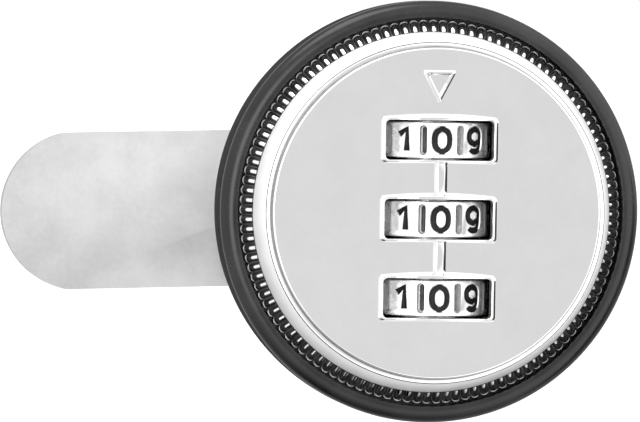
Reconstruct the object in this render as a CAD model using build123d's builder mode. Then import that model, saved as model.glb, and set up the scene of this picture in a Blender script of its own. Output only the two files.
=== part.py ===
from build123d import *
import os
from math import cos, radians, sin, sqrt

# Round combination cam lock with three number dials, in millimetres.
# The lock's axis is Y and its origin is the centre of the seat on the panel.
# Heights are measured from the panel towards the user, along -Y.
# +X is right and +Z is up, seen from the front. The cam points left, to -X.

# Head, outside. All its sizes keep their share of the bezel, and clearances stay as they are
bezel_radius = 25.0
share = bezel_radius / 25
bezel_foot_radius = 24.0 * share
bezel_belly_height = 8.6 * share
bezel_lip_height = 13.3 * share
bezel_lip_round = 1.3 * share
bezel_lip_slope = 0.6 * share
knurl_radius = 22.75 * share
knurl_count = 120
knurl_depth = 0.45 * share
knurl_groove_width = 0.5 * share
knurl_low_height = 10.3 * share
knurl_top_height = 13.8 * share
knurl_gap = 0.3
wall_foot_radius = 21.3 * share
face_edge_radius = 20.05 * share
face_edge_cut = 0.35 * share
face_height = 18.0 * share
face_thickness = 1.8 * share

# Dials and their windows
dial_radius = 7.2 * share
dial_width = 4.4 * share
dial_pitch = 9.3 * share
dial_drop = 0.7 * share
dial_proud = 0.2 * share
dial_edge = 0.2 * share
digit_count = 10
land_groove_width = 1.0 * share
land_groove_length = 3.5 * share
land_groove_depth = 0.5 * share
window_length = 12.9 * share
window_gap = 0.15
window_corner = 0.9 * share
collar_rim = 0.6 * share
collar_rise = 1.0 * share
collar_arch_radius = 21.0 * share
collar_draft_deg = 22.0
ridge_width = 1.1 * share
ridge_rise = 0.5 * share
ridge_draft_deg = 15.0
pointer_width = 4.0 * share
pointer_height = 3.8 * share
pointer_line = 0.5 * share
pointer_rise = 0.3 * share
pointer_tip_z = 12.9 * share

# Dial axle, hubs and carrier
axle_radius = 1.75 * share
axle_fit = 0.05
axle_overhang = 1.6 * share
hub_radius = 4.0 * share
spline_height = 0.5 * share
spline_width = 1.2 * share
spline_fit = 0.06
gate_radius = 5.2 * share
gate_width = 1.6 * share
gate_depth = 1.7 * share
gate_opening = 2.9 * share
side_gap = 0.15
end_rib = 2.0 * share
carrier_wall = 0.9 * share
carrier_gap = 0.3
clip_thickness = 0.5
clip_groove_depth = 0.4
clip_reach = 1.3

# Knob, inside
skirt_thickness = 0.9 * share
skirt_low_height = 2.75 * share
boss_radius = 1.9 * share
boss_gap = 0.2
boss_angle = 33.0
back_plate_thickness = 0.9 * share
plate_fit = 0.1
screw_radius = 0.9 * share
screw_head_radius = 1.7 * share
screw_length = 5.5 * share
screw_head_height = 0.5 * share
screw_slot = 0.4
screw_slot_depth = 0.3

# Locking bar and its track
bar_travel = 1.2 * share
bar_finger_gap = 0.15
bar_finger_width = 1.2 * share
bar_finger_height = 2.4 * share
bar_plate = 1.5 * share
bar_low_height = 4.5 * share
bar_foot_height = 3.0 * share
bar_foot_width = 3.0 * share
bar_shoulder_width = 11.0 * share
bar_shoulder_x = 16.5 * share
track_radius = 20.6 * share
track_gap = 0.15
track_sweep_deg = 90.0
track_top_height = 8.0 * share
track_wall = 1.25 * share
track_foot_deg = 6.0
track_return_deg = 16.0
spring_wire = 0.36 * share
spring_radius = 1.1 * share
spring_turns = 3
spring_offset_z = 3.4 * share
spring_pocket_fit = 0.2
spring_seat_x = 13.4 * share

# Click spring
leaf_thickness = 0.3
leaf_width = 2.4 * share
leaf_foot_height = 4.6 * share
leaf_strip_height = 2.6 * share
click_depth = 0.2

# Body behind the panel
flange_thickness = 2.4 * share
flange_fit = 0.1
barrel_radius = 9.5
barrel_flat_depth = 1.5
barrel_wall = 3.5
barrel_length = 11.0
spindle_fit = 0.05
stop_wall_thickness = 1.2
stop_wall_length = 2.2
stop_tab_deg = 24.0
stop_play_deg = 1.0
ring_thickness = 0.8
ring_groove_depth = 0.8
ring_reach = 1.3
ring_play = 0.1
nut_wall = 2.5
nut_thickness = 4.0
nut_fit = 0.12
nut_chamfer = 0.6
panel_thickness = 1.5
tooth_washer_reach = 2.1
tooth_washer_thickness = 0.8
tooth_count = 12
tooth_depth = 1.1

# Cam
turn_deg = 90.0
cam_width = 19.0
cam_reach = 48.6
cam_tip_ease = 0.1
cam_thickness = 2.0
cam_play_deg = 1.8
square_fit = 0.15
square_corner_cut = 0.5
stop_washer_reach = 1.6
stop_washer_thickness = 1.2
cam_washer_thickness = 0.8
cam_screw_radius = 2.5
cam_screw_head_inset = 1.25
cam_screw_head_height = 3.0
cam_screw_length = 9.0
cam_screw_socket = 4.0
cam_screw_edge = 0.4

# Worked out from the values above
window_width = dial_width + 2 * window_gap
knurl_shoulder = knurl_radius - wall_foot_radius
shoulder_height = knurl_top_height - knurl_shoulder
barrel_flats = 2 * (barrel_radius - barrel_flat_depth)
spindle_radius = barrel_radius - barrel_wall
stop_wall_radius = barrel_radius - stop_wall_thickness
ring_radius = spindle_radius + ring_reach
nut_across_flats = 2 * (barrel_radius + nut_wall)
tooth_washer_radius = barrel_radius + tooth_washer_reach
square_width = 4 / 3 * spindle_radius
square_corner_radius = spindle_radius - square_corner_cut
stop_washer_radius = spindle_radius + stop_washer_reach
cam_tip_radius = cam_width / 2 + cam_tip_ease
cam_washer_radius = spindle_radius
cam_screw_head_radius = cam_washer_radius - cam_screw_head_inset
dial_height = face_height + dial_proud - dial_radius
dial_centres = {
    "top": dial_pitch - dial_drop,
    "middle": -dial_drop,
    "bottom": -dial_pitch - dial_drop,
}
ceiling_height = face_height - face_thickness
skirt_radius = track_radius - bar_travel - 2 * track_gap
cup_radius = skirt_radius - skirt_thickness
boss_ring_radius = cup_radius - boss_radius - boss_gap
plate_top_height = skirt_low_height + back_plate_thickness
flange_radius = track_radius + track_wall
gate_offset = dial_width / 2 + side_gap / 2 + gate_width / 2
rib_thickness = dial_pitch - dial_width - gate_width - 2.5 * side_gap
rib_offset = dial_width / 2 + side_gap
carrier_inner_x = dial_radius + carrier_gap
carrier_outer_x = carrier_inner_x + carrier_wall
axle_top_z = dial_centres["top"] + rib_offset + end_rib
axle_bottom_z = dial_centres["bottom"] - gate_offset - gate_width / 2 - side_gap - end_rib
finger_tip_x = gate_radius + bar_finger_gap + bar_travel
bar_inner_x = carrier_outer_x + bar_travel + side_gap
stop_washer_top = -(barrel_length + 2 * ring_play + ring_thickness + side_gap)
cam_top = stop_washer_top - stop_washer_thickness
cam_washer_top = cam_top - cam_thickness
cam_screw_seat = cam_washer_top - cam_washer_thickness


def front(height):
    """The plane at a height above the panel, facing the user."""
    return Plane.XZ.offset(height)


def at(radius, height):
    """A point of a turned profile: distance from the lock's axis, height above the panel."""
    return (radius, -height)


def quarter_round(radius, height, size, flats):
    """Points of an outer quarter round about a centre, turned as a few flats."""
    turns = [radians(90 * step / flats) for step in range(flats + 1)]
    return [at(radius + size * cos(turn), height + size * sin(turn)) for turn in turns]


def save(piece, name):
    """Labels a finished piece and writes it."""
    piece.part.label = name
    export_step(piece.part, f"parts/{name}.step")


os.makedirs("parts", exist_ok=True)

# Black bezel: a shallow barrel shape with a rounded lip round the knurled band
lip_bore = knurl_radius + knurl_gap
bezel_bore = flange_radius + flange_fit
lip_floor_height = knurl_low_height - knurl_gap
with BuildPart() as base_bezel:
    with BuildSketch(Plane.XY):
        with BuildLine():
            lip_low_height = bezel_lip_height - bezel_lip_round
            Polyline(
                at(bezel_bore, 0),
                at(bezel_foot_radius, 0),
                at((bezel_foot_radius + 3 * bezel_radius) / 4, bezel_belly_height / 2),
                at(bezel_radius, bezel_belly_height),
                *quarter_round(bezel_radius - bezel_lip_round, lip_low_height, bezel_lip_round, 2),
                at(lip_bore, bezel_lip_height - bezel_lip_slope),
                at(lip_bore, lip_floor_height),
                at(bezel_bore, lip_floor_height),
                close=True,
            )
        make_face()
    revolve(axis=Axis.Y)
save(base_bezel, "base_bezel")

# Body casting: flange, cam track for the locking bar, threaded barrel and stop wall
with BuildPart() as body_casting:
    with BuildSketch(front(0)):
        Circle(flange_radius)
    extrude(amount=flange_thickness)
    with BuildSketch(front(flange_thickness)):
        Circle(flange_radius)
        with BuildLine():
            track_end_deg = track_sweep_deg + track_foot_deg
            angles = [track_end_deg * step / 8 for step in range(9)]
            radii = [track_radius - bar_travel * angle / track_sweep_deg for angle in angles]
            ramp = Spline(
                [
                    (radius * cos(radians(angle)), -radius * sin(radians(angle)))
                    for radius, angle in zip(radii, angles)
                ]
            )
            return_deg = -track_end_deg - track_return_deg
            level = CenterArc((0, 0), track_radius, 0, 360 + return_deg)
            Line(ramp @ 1, level @ 1)
        make_face(mode=Mode.SUBTRACT)
    extrude(amount=track_top_height - flange_thickness)
    with BuildSketch(front(0)):
        Circle(barrel_radius)
        Rectangle(2 * barrel_radius, barrel_flats, mode=Mode.INTERSECT)
    extrude(amount=-barrel_length)
    stop_free_deg = turn_deg + stop_tab_deg + 2 * stop_play_deg
    with BuildSketch(front(-barrel_length)):
        Circle(barrel_radius)
        Rectangle(2 * barrel_radius, barrel_flats, mode=Mode.INTERSECT)
        Circle(stop_wall_radius, mode=Mode.SUBTRACT)
        with BuildLine():
            wide = 2 * barrel_radius
            half = radians(stop_free_deg / 2)
            Polyline(
                (0, 0),
                (wide * cos(half), wide * sin(half)),
                (wide * cos(half), -wide * sin(half)),
                close=True,
            )
        make_face(mode=Mode.SUBTRACT)
    extrude(amount=-stop_wall_length)
    with BuildSketch(front(flange_thickness)):
        Circle(spindle_radius + spindle_fit)
    extrude(amount=-flange_thickness - barrel_length, mode=Mode.SUBTRACT)
save(body_casting, "body_casting")

# Tooth washer under the nut
nut_seat = -panel_thickness - tooth_washer_thickness
with BuildPart() as tooth_washer:
    with BuildSketch(front(-panel_thickness)):
        Circle(tooth_washer_radius)
        Circle(barrel_radius + nut_fit + tooth_depth, mode=Mode.SUBTRACT)
        with PolarLocations(barrel_radius + nut_fit, tooth_count):
            Rectangle(1.5 * tooth_depth, 2 * tooth_depth, align=(Align.MIN, Align.CENTER))
    extrude(amount=-tooth_washer_thickness)
save(tooth_washer, "tooth_washer")

# Mounting nut, chamfered on both faces
nut_corner = nut_across_flats / sqrt(3)
with BuildPart() as mounting_nut:
    with BuildSketch(front(nut_seat)):
        RegularPolygon(nut_corner, 6)
    extrude(amount=-nut_thickness)
    with BuildSketch(Plane.XY):
        with BuildLine():
            Polyline(
                at(0, nut_seat),
                at(nut_corner - 2 * nut_chamfer, nut_seat),
                at(nut_corner, nut_seat - nut_chamfer),
                at(nut_corner, nut_seat - nut_thickness + nut_chamfer),
                at(nut_corner - 2 * nut_chamfer, nut_seat - nut_thickness),
                at(0, nut_seat - nut_thickness),
                close=True,
            )
        make_face()
    revolve(axis=Axis.Y, mode=Mode.INTERSECT)
    with BuildSketch(front(nut_seat)):
        Circle(barrel_radius + nut_fit)
    extrude(amount=-nut_thickness, mode=Mode.SUBTRACT)
save(mounting_nut, "mounting_nut")

# Knob: face, sloped wall, knurled band and skirt in one casting
with BuildPart() as knob:
    with BuildSketch(Plane.XY):
        with BuildLine():
            Polyline(
                at(knurl_radius, knurl_low_height),
                *quarter_round(wall_foot_radius, shoulder_height, knurl_shoulder, 2),
                at(face_edge_radius, face_height),
                at(0, face_height),
                at(0, ceiling_height),
                at(cup_radius, ceiling_height),
                at(cup_radius, skirt_low_height),
                at(skirt_radius, skirt_low_height),
                at(skirt_radius, knurl_low_height),
                close=True,
            )
        make_face()
    revolve(axis=Axis.Y)
    face_edge = knob.edges().filter_by(GeomType.CIRCLE).group_by(Axis.Y)[0].sort_by(SortBy.RADIUS)[-1]
    chamfer(face_edge, face_edge_cut)

    # Knurl: straight grooves that follow the band's shoulder
    root_foot = (knurl_radius - knurl_depth, knurl_low_height - knurl_depth)
    groove_top_radius = wall_foot_radius + knurl_depth / 10
    root_size = knurl_radius - knurl_depth - groove_top_radius
    with BuildPart(mode=Mode.PRIVATE) as groove:
        with BuildSketch(Plane.XY):
            with BuildLine():
                Polyline(
                    at(*root_foot),
                    *quarter_round(groove_top_radius, shoulder_height, root_size, 2),
                    at(groove_top_radius, knurl_top_height + knurl_depth),
                    at(knurl_radius + knurl_depth, knurl_top_height + knurl_depth),
                    at(knurl_radius + knurl_depth, knurl_low_height - knurl_depth),
                    close=True,
                )
            make_face()
        extrude(amount=knurl_groove_width / 2, both=True)
    groove_angles = [360 * step / knurl_count for step in range(knurl_count)]
    add([groove.part.rotate(Axis.Y, angle) for angle in groove_angles], mode=Mode.SUBTRACT)

    # Window collars, drafted and arched across the dials
    collar_flare = collar_rise * sin(radians(collar_draft_deg))
    with BuildPart(mode=Mode.PRIVATE) as collars:
        for centre in dial_centres.values():
            with BuildSketch(front(face_height)):
                with Locations((0, centre)):
                    RectangleRounded(
                        window_length + 2 * collar_rim,
                        window_width + 2 * (collar_rim + collar_flare / 2),
                        window_corner + collar_rim / 2,
                    )
            extrude(amount=collar_rise, taper=collar_draft_deg)
        arch_centre = face_height + collar_rise - collar_arch_radius
        arch_plane = Plane(origin=(0, -arch_centre, 0), z_dir=(0, 0, 1))
        with BuildSketch(arch_plane):
            Circle(collar_arch_radius)
        extrude(amount=wall_foot_radius, both=True, mode=Mode.INTERSECT)
    add(collars.part)

    # Index ridges between the windows, and the pointer above them
    for first, second in (("top", "middle"), ("middle", "bottom")):
        upper = dial_centres[first] - window_width / 2 - collar_rim
        lower = dial_centres[second] + window_width / 2 + collar_rim
        with BuildSketch(front(face_height)):
            with Locations((0, (upper + lower) / 2)):
                Rectangle(ridge_width, upper - lower + collar_rim)
        extrude(amount=ridge_rise, taper=ridge_draft_deg)
    pointer_top_z = pointer_tip_z + pointer_height
    with BuildSketch(front(face_height)):
        with BuildLine():
            Polyline(
                (-pointer_width / 2, pointer_top_z),
                (pointer_width / 2, pointer_top_z),
                (0, pointer_tip_z),
                close=True,
            )
        pointer = make_face()
        offset(pointer, amount=-pointer_line, mode=Mode.SUBTRACT)
    extrude(amount=pointer_rise)

    # Windows
    with BuildSketch(front(face_height + collar_rise)):
        with Locations([(0, centre) for centre in dial_centres.values()]):
            RectangleRounded(window_length, window_width, window_corner)
    extrude(amount=-face_thickness - 2 * collar_rise, mode=Mode.SUBTRACT)

    # Screw bosses inside the cup
    boss_x = boss_ring_radius * cos(radians(boss_angle))
    boss_z = boss_ring_radius * sin(radians(boss_angle))
    boss_spots = [(boss_x, boss_z), (-boss_x, boss_z), (-boss_x, -boss_z), (boss_x, -boss_z)]
    with BuildSketch(front(plate_top_height)):
        with Locations(boss_spots):
            Circle(boss_radius)
        Circle(cup_radius + skirt_thickness / 2, mode=Mode.INTERSECT)
    extrude(amount=ceiling_height - plate_top_height)
    with BuildSketch(front(plate_top_height)):
        with Locations(boss_spots):
            Circle(screw_radius)
    extrude(amount=screw_length, mode=Mode.SUBTRACT)

    # Slot in the skirt for the locking bar's foot
    slot_low_height = bar_low_height - carrier_gap
    with BuildSketch(front(slot_low_height)):
        with Locations((skirt_radius, 0)):
            Rectangle(4 * skirt_thickness, bar_foot_width + 2 * carrier_gap)
    extrude(amount=bar_foot_height + 2 * carrier_gap, mode=Mode.SUBTRACT)
save(knob, "knob")

# Dial carrier: two side walls joined by four ribs that hold the axle
ribs = [
    (dial_centres["top"] + rib_offset, dial_centres["top"] + rib_offset + end_rib),
    (dial_centres["middle"] + rib_offset, dial_centres["middle"] + rib_offset + rib_thickness),
    (dial_centres["bottom"] + rib_offset, dial_centres["bottom"] + rib_offset + rib_thickness),
    (axle_bottom_z, axle_bottom_z + end_rib),
]
carrier_rise = ceiling_height - plate_top_height
with BuildPart() as dial_carrier:
    with BuildSketch(front(plate_top_height)):
        for low, high in ribs:
            with Locations((0, (low + high) / 2)):
                Rectangle(2 * carrier_outer_x, high - low)
        with Locations((-carrier_outer_x, 0), (carrier_inner_x, 0)):
            Rectangle(
                carrier_wall, axle_top_z - axle_bottom_z, align=(Align.MIN, Align.CENTER)
            )
        Circle(cup_radius - plate_fit, mode=Mode.INTERSECT)
    extrude(amount=carrier_rise)
    with BuildSketch(Plane.XY.offset(axle_bottom_z - end_rib)):
        with Locations((0, -dial_height)):
            Circle(axle_radius)
    extrude(amount=2 * cup_radius, mode=Mode.SUBTRACT)
    # Notches for the locking bar's fingers and slots for the click spring's leaves
    for centre in dial_centres.values():
        with BuildSketch(front(dial_height - bar_finger_height / 2 - carrier_gap)):
            with Locations((carrier_inner_x, centre - gate_offset)):
                Rectangle(3 * carrier_wall, bar_finger_width + 2 * side_gap)
        extrude(amount=carrier_rise, mode=Mode.SUBTRACT)
        with BuildSketch(front(dial_height - dial_radius / 2)):
            with Locations((-carrier_outer_x, centre)):
                Rectangle(3 * carrier_wall, leaf_width + 2 * carrier_gap)
        extrude(amount=dial_radius, mode=Mode.SUBTRACT)
save(dial_carrier, "dial_carrier")

# Axle with a clip groove near each end
axle_length = axle_top_z - axle_bottom_z + 2 * axle_overhang
groove_low_z = axle_bottom_z - side_gap / 2 - clip_thickness - side_gap / 2
groove_high_z = axle_top_z
groove_width = clip_thickness + side_gap
with BuildPart() as dial_axle:
    with BuildSketch(Plane.XY.offset(axle_bottom_z - axle_overhang)):
        with Locations((0, -dial_height)):
            Circle(axle_radius - axle_fit)
    extrude(amount=axle_length)
    for level in (groove_low_z, groove_high_z):
        with BuildSketch(Plane.XY.offset(level)):
            with Locations((0, -dial_height)):
                Circle(axle_radius)
                Circle(axle_radius - clip_groove_depth, mode=Mode.SUBTRACT)
        extrude(amount=groove_width, mode=Mode.SUBTRACT)
save(dial_axle, "dial_axle")

# Retaining clips: open rings pushed into the grooves
with BuildPart() as axle_clips:
    for level in (groove_low_z, groove_high_z):
        with BuildSketch(Plane.XY.offset(level + side_gap / 2)):
            with Locations((0, -dial_height)):
                Circle(axle_radius + clip_reach)
                Circle(axle_radius - clip_groove_depth + axle_fit, mode=Mode.SUBTRACT)
                Rectangle(
                    2 * axle_radius - 2 * clip_groove_depth,
                    2 * axle_radius + 2 * clip_reach,
                    align=(Align.CENTER, Align.MAX),
                    mode=Mode.SUBTRACT,
                )
        extrude(amount=clip_thickness)
save(axle_clips, "axle_clips")

# Number dials with lands for the digits, and the code hubs splined inside them
dial_bore = hub_radius + spline_fit
for name, centre in dial_centres.items():
    dial_plane = Plane((0, -dial_height, centre - dial_width / 2))
    with BuildPart() as dial:
        with BuildSketch(dial_plane):
            Circle(dial_radius)
            Circle(dial_bore, mode=Mode.SUBTRACT)
            with PolarLocations(hub_radius, digit_count, start_angle=90):
                Rectangle(
                    2 * (spline_height + spline_fit), spline_width + 2 * spline_fit, mode=Mode.SUBTRACT
                )
        extrude(amount=dial_width)
        chamfer(dial.edges().filter_by(GeomType.CIRCLE).sort_by(SortBy.RADIUS)[-2:], dial_edge)
        # Round-ended grooves between the lands
        for step in range(digit_count):
            turn = radians(360 / digit_count * (step + 0.5))
            outward = (sin(turn), -cos(turn), 0)
            groove_plane = Plane((0, -dial_height, centre), x_dir=(0, 0, 1), z_dir=outward)
            with BuildSketch(groove_plane.offset(dial_radius - land_groove_depth)):
                land_groove = Rectangle(land_groove_length, land_groove_width)
                chamfer(land_groove.vertices(), land_groove_width / 3)
            extrude(amount=2 * land_groove_depth, mode=Mode.SUBTRACT)
    save(dial, f"dial_{name}")

    hub_low_z = centre - gate_offset - gate_width / 2
    with BuildPart() as hub:
        with BuildSketch(Plane((0, -dial_height, hub_low_z))):
            Circle(gate_radius)
            with Locations((gate_radius, 0)):
                Rectangle(2 * gate_depth, gate_opening, mode=Mode.SUBTRACT)
        extrude(amount=gate_width)
        with BuildSketch(Plane((0, -dial_height, hub_low_z + gate_width))):
            Circle(hub_radius)
            with PolarLocations(hub_radius, digit_count // 2, start_angle=90):
                Rectangle(2 * spline_height, spline_width)
        extrude(amount=dial_width + side_gap / 2)
        with BuildSketch(Plane((0, -dial_height, hub_low_z))):
            Circle(axle_radius)
        extrude(amount=gate_width + dial_width + side_gap, mode=Mode.SUBTRACT)
    save(hub, f"hub_{name}")

# Click spring: one strip with a bent leaf for each dial
leaf_x = -carrier_outer_x - leaf_thickness
tip_x = -dial_radius + click_depth
strip_low_z = dial_centres["bottom"] - leaf_width / 2
strip_high_z = dial_centres["top"] + leaf_width / 2
with BuildPart() as click_spring:
    with BuildSketch(front(leaf_foot_height)):
        with Locations((leaf_x, (strip_low_z + strip_high_z) / 2)):
            Rectangle(
                leaf_thickness, strip_high_z - strip_low_z, align=(Align.MIN, Align.CENTER)
            )
    extrude(amount=leaf_strip_height)
    for centre in dial_centres.values():
        with BuildSketch(Plane.XY.offset(centre)):
            with BuildLine():
                spine = Polyline(
                    at(leaf_x + leaf_thickness / 2, leaf_foot_height + leaf_strip_height / 2),
                    at(leaf_x + leaf_thickness / 2, dial_height - dial_radius / 3),
                    at(tip_x - leaf_thickness / 2, dial_height),
                    at(leaf_x + leaf_thickness / 2, dial_height + dial_radius / 4),
                )
                offset(spine, amount=leaf_thickness / 2, side=Side.BOTH)
            make_face()
        extrude(amount=leaf_width / 2, both=True)
save(click_spring, "click_spring")

# Spindle with the knob's back plate, a ring groove and the cam's square
with BuildPart() as spindle:
    with BuildSketch(front(skirt_low_height)):
        Circle(cup_radius - plate_fit)
    extrude(amount=back_plate_thickness)
    with BuildSketch(front(skirt_low_height)):
        Circle(spindle_radius)
    extrude(amount=stop_washer_top - skirt_low_height)
    ring_low = -(barrel_length + ring_play / 2)
    with BuildSketch(front(ring_low)):
        Circle(spindle_radius + ring_groove_depth)
        Circle(spindle_radius - ring_groove_depth, mode=Mode.SUBTRACT)
    extrude(amount=-ring_thickness - ring_play, mode=Mode.SUBTRACT)
    with BuildSketch(front(stop_washer_top)):
        Rectangle(square_width, square_width)
        Circle(square_corner_radius, mode=Mode.INTERSECT)
    extrude(amount=-stop_washer_thickness - cam_thickness + square_fit)
    with BuildSketch(front(cam_washer_top)):
        Circle(cam_screw_radius + spindle_fit)
    extrude(amount=cam_screw_length, mode=Mode.SUBTRACT)
    with BuildSketch(front(skirt_low_height)):
        with Locations(boss_spots):
            Circle(screw_radius)
    extrude(amount=back_plate_thickness, mode=Mode.SUBTRACT)
    with BuildSketch(front(skirt_low_height)):
        with Locations(boss_spots):
            Circle(screw_head_radius)
    extrude(amount=screw_head_height, mode=Mode.SUBTRACT)
save(spindle, "spindle")

# Sunk screws of the back plate
with BuildPart() as plate_screws:
    with BuildSketch(front(skirt_low_height)):
        with Locations(boss_spots):
            Circle(screw_head_radius - plate_fit)
    extrude(amount=screw_head_height)
    with BuildSketch(front(skirt_low_height)):
        with Locations(boss_spots):
            Circle(screw_radius - spindle_fit)
    extrude(amount=screw_length - back_plate_thickness)
    with BuildSketch(front(skirt_low_height)):
        with Locations(boss_spots):
            Rectangle(3 * screw_radius, screw_slot)
    extrude(amount=screw_slot_depth, mode=Mode.SUBTRACT)
save(plate_screws, "plate_screws")

# Retaining ring behind the barrel
with BuildPart() as retaining_ring:
    with BuildSketch(front(-(barrel_length + ring_play))):
        Circle(ring_radius)
        Circle(spindle_radius - ring_groove_depth + spindle_fit, mode=Mode.SUBTRACT)
        Rectangle(
            2 * (spindle_radius - ring_groove_depth) - ring_thickness,
            2 * ring_radius,
            align=(Align.CENTER, Align.MAX),
            mode=Mode.SUBTRACT,
        )
    extrude(amount=-ring_thickness)
save(retaining_ring, "retaining_ring")

# Stop washer: its tab turns between the ends of the barrel's stop wall
with BuildPart() as stop_washer:
    tab_outer = barrel_radius - spindle_fit
    with BuildSketch(front(stop_washer_top)):
        Circle(stop_washer_radius)
        with BuildLine():
            start = turn_deg / 2 - stop_tab_deg / 2
            arc = CenterArc((0, 0), tab_outer, start, stop_tab_deg)
            Polyline(arc @ 1, (0, 0), arc @ 0)
        make_face()
        Rectangle(square_width + square_fit, square_width + square_fit, mode=Mode.SUBTRACT)
    extrude(amount=-stop_washer_thickness)
save(stop_washer, "stop_washer")

# Cam: a flat tongue with a rounded tip, resting in the play of its square hole
tip_centre = cam_reach - cam_tip_radius
edge_x = tip_centre + sqrt(cam_tip_radius**2 - (cam_width / 2) ** 2)
cam_way = (cos(radians(cam_play_deg)), 0, sin(radians(cam_play_deg)))
with BuildPart() as cam:
    with BuildSketch(Plane(front(cam_top).origin, x_dir=cam_way, z_dir=(0, -1, 0))):
        with BuildLine():
            tip = ThreePointArc(
                (-edge_x, cam_width / 2), (-cam_reach, 0), (-edge_x, -cam_width / 2)
            )
            Line(tip @ 0, (0, cam_width / 2))
            ThreePointArc((0, cam_width / 2), (cam_width / 2, 0), (0, -cam_width / 2))
            Line((0, -cam_width / 2), tip @ 1)
        make_face()
        Rectangle(square_width + 2 * square_fit, square_width + 2 * square_fit, mode=Mode.SUBTRACT)
    extrude(amount=-cam_thickness)
save(cam, "cam")

# Lock washer and screw of the cam
with BuildPart() as cam_washer:
    with BuildSketch(front(cam_washer_top)):
        Circle(cam_washer_radius)
        Circle(cam_screw_radius + spindle_fit, mode=Mode.SUBTRACT)
        Rectangle(
            cam_washer_thickness,
            cam_washer_radius,
            align=(Align.CENTER, Align.MIN),
            mode=Mode.SUBTRACT,
        )
    extrude(amount=-cam_washer_thickness)
save(cam_washer, "cam_washer")

with BuildPart() as cam_screw:
    with BuildSketch(front(cam_screw_seat)):
        Circle(cam_screw_head_radius)
    extrude(amount=-cam_screw_head_height)
    chamfer(cam_screw.edges().group_by(Axis.Y)[-1], cam_screw_edge)
    with BuildSketch(front(cam_screw_seat)):
        Circle(cam_screw_radius)
    extrude(amount=cam_screw_length)
    with BuildSketch(front(cam_screw_seat - cam_screw_head_height)):
        RegularPolygon(cam_screw_socket / sqrt(3), 6)
    extrude(amount=2 * cam_screw_head_height / 3, mode=Mode.SUBTRACT)
save(cam_screw, "cam_screw")

# Locking bar: a plate with a finger for each hub and a foot that follows the track
finger_zs = [centre - gate_offset for centre in dial_centres.values()]
bar_low_z = min(finger_zs) - bar_finger_width / 2
bar_high_z = max(finger_zs) + bar_finger_width / 2
foot_round = bar_foot_width / 2
foot_tip_x = track_radius - track_gap
spring_length = spring_seat_x - carrier_outer_x
spring_height = bar_low_height + bar_foot_height / 2
with BuildPart() as locking_bar:
    with BuildSketch(front(bar_low_height)):
        with Locations((bar_inner_x, (bar_low_z + bar_high_z) / 2)):
            Rectangle(bar_plate, bar_high_z - bar_low_z, align=(Align.MIN, Align.CENTER))
    extrude(amount=dial_height + bar_finger_height / 2 - bar_low_height)
    with BuildSketch(front(bar_low_height)):
        with Locations((bar_inner_x, 0)):
            Rectangle(
                bar_shoulder_x - bar_inner_x, bar_shoulder_width, align=(Align.MIN, Align.CENTER)
            )
            Rectangle(
                foot_tip_x - foot_round - bar_inner_x, bar_foot_width, align=(Align.MIN, Align.CENTER)
            )
        with Locations((foot_tip_x - foot_round, 0)):
            Circle(foot_round)
    extrude(amount=bar_foot_height)
    with BuildSketch(front(dial_height - bar_finger_height / 2)):
        with Locations([(finger_tip_x, z) for z in finger_zs]):
            Rectangle(
                bar_inner_x - finger_tip_x, bar_finger_width, align=(Align.MIN, Align.CENTER)
            )
    extrude(amount=bar_finger_height)
    for side in (-1, 1):
        with BuildSketch(Plane((bar_inner_x, -spring_height, side * spring_offset_z), z_dir=(1, 0, 0))):
            Circle(spring_radius + spring_wire / 2 + spring_pocket_fit)
        extrude(amount=spring_seat_x - bar_inner_x, mode=Mode.SUBTRACT)
save(locking_bar, "locking_bar")

# Return springs between the carrier's wall and the bar's pockets
coil_pitch = (spring_length - spring_wire) / spring_turns
with BuildPart() as bar_springs:
    for side in (-1, 1):
        start = (carrier_outer_x + spring_wire / 2, -spring_height, side * spring_offset_z)
        with BuildLine() as coil:
            Helix(coil_pitch, coil_pitch * spring_turns, spring_radius, start, (1, 0, 0))
        with BuildSketch(Plane(coil.line @ 0, z_dir=coil.line % 0)):
            Rectangle(spring_wire, spring_wire)
        sweep(path=coil.line)
save(bar_springs, "bar_springs")
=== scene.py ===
from math import atan2, copysign, cos, hypot, pi, radians, sin, tan

import bpy
from mathutils import Matrix, Vector


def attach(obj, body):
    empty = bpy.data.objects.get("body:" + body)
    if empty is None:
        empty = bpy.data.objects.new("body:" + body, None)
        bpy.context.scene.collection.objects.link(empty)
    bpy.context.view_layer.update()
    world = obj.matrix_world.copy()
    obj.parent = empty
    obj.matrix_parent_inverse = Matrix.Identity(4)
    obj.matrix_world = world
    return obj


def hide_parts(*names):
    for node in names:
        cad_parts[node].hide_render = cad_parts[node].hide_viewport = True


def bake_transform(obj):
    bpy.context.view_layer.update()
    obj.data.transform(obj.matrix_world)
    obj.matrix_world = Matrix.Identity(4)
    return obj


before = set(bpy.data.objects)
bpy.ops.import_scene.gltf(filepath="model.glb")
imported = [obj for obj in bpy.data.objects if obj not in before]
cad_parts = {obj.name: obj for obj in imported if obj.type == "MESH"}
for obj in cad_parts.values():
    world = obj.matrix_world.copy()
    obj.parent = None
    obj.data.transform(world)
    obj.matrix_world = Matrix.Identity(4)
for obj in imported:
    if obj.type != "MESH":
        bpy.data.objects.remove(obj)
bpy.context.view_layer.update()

# Pieces are modelled in millimetres and brought to metres when they are finished.
# The lock's axis is Y, heights are measured from the panel towards the user, along -Y.
TO_METRES = Matrix.Scale(0.001, 4)
AXIS_TURN = (pi / 2, 0, 0)

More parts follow.
